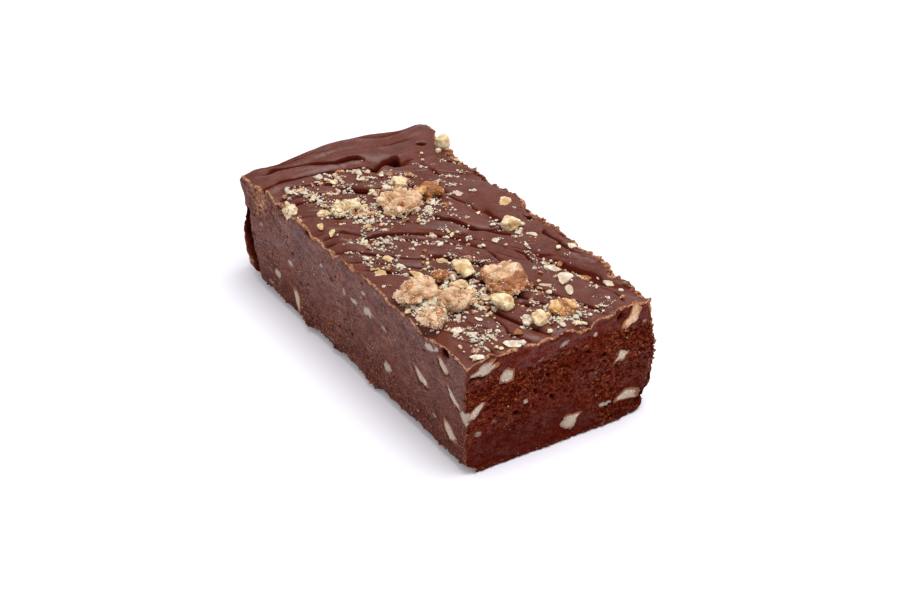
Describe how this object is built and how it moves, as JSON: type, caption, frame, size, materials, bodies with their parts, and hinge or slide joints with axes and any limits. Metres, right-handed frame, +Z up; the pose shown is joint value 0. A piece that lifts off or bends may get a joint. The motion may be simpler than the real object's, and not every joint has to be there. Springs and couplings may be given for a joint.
{
  "type": "walnut chocolate fudge bar",
  "caption": "Bar of chocolate fudge cut from a slab, with chopped walnuts pressed into its spread top and walnut pieces sliced through at its cut faces.",
  "frame": {"origin": "centre of the whole's footprint, on the flat base that the bar rests on", "axes": "+X along the bar's length towards the near cut end, +Y across it towards the rough back side (the long smooth cut face is at -Y), +Z up"},
  "size_m": [0.1073, 0.0528, 0.0333],
  "materials": {
    "fudge": "chocolate fudge, satin and slightly greasy on top, finely pitted where cut",
    "walnut": "walnut kernel, matt cream flesh with an orange-brown skin"
  },
  "bodies": {
    "root": {"fudge": "fudge", "walnut_topping_1": "walnut", "walnut_topping_2": "walnut", "walnut_topping_3": "walnut", "walnut_topping_4": "walnut", "walnut_topping_5": "walnut", "walnut_topping_6": "walnut", "walnut_topping_7": "walnut", "walnut_topping_8": "walnut", "walnut_topping_9": "walnut", "walnut_topping_10": "walnut", "walnut_topping_11": "walnut", "walnut_topping_12": "walnut", "walnut_topping_13": "walnut", "walnut_topping_14": "walnut", "walnut_topping_15": "walnut", "walnut_topping_16": "walnut", "walnut_slice_1": "walnut", "walnut_slice_2": "walnut", "walnut_slice_3": "walnut", "walnut_slice_4": "walnut", "walnut_slice_5": "walnut", "walnut_slice_6": "walnut", "walnut_slice_7": "walnut", "walnut_slice_8": "walnut", "walnut_slice_9": "walnut", "walnut_slice_10": "walnut", "walnut_slice_11": "walnut", "walnut_slice_12": "walnut", "walnut_slice_13": "walnut"}
  },
  "joints": []
}
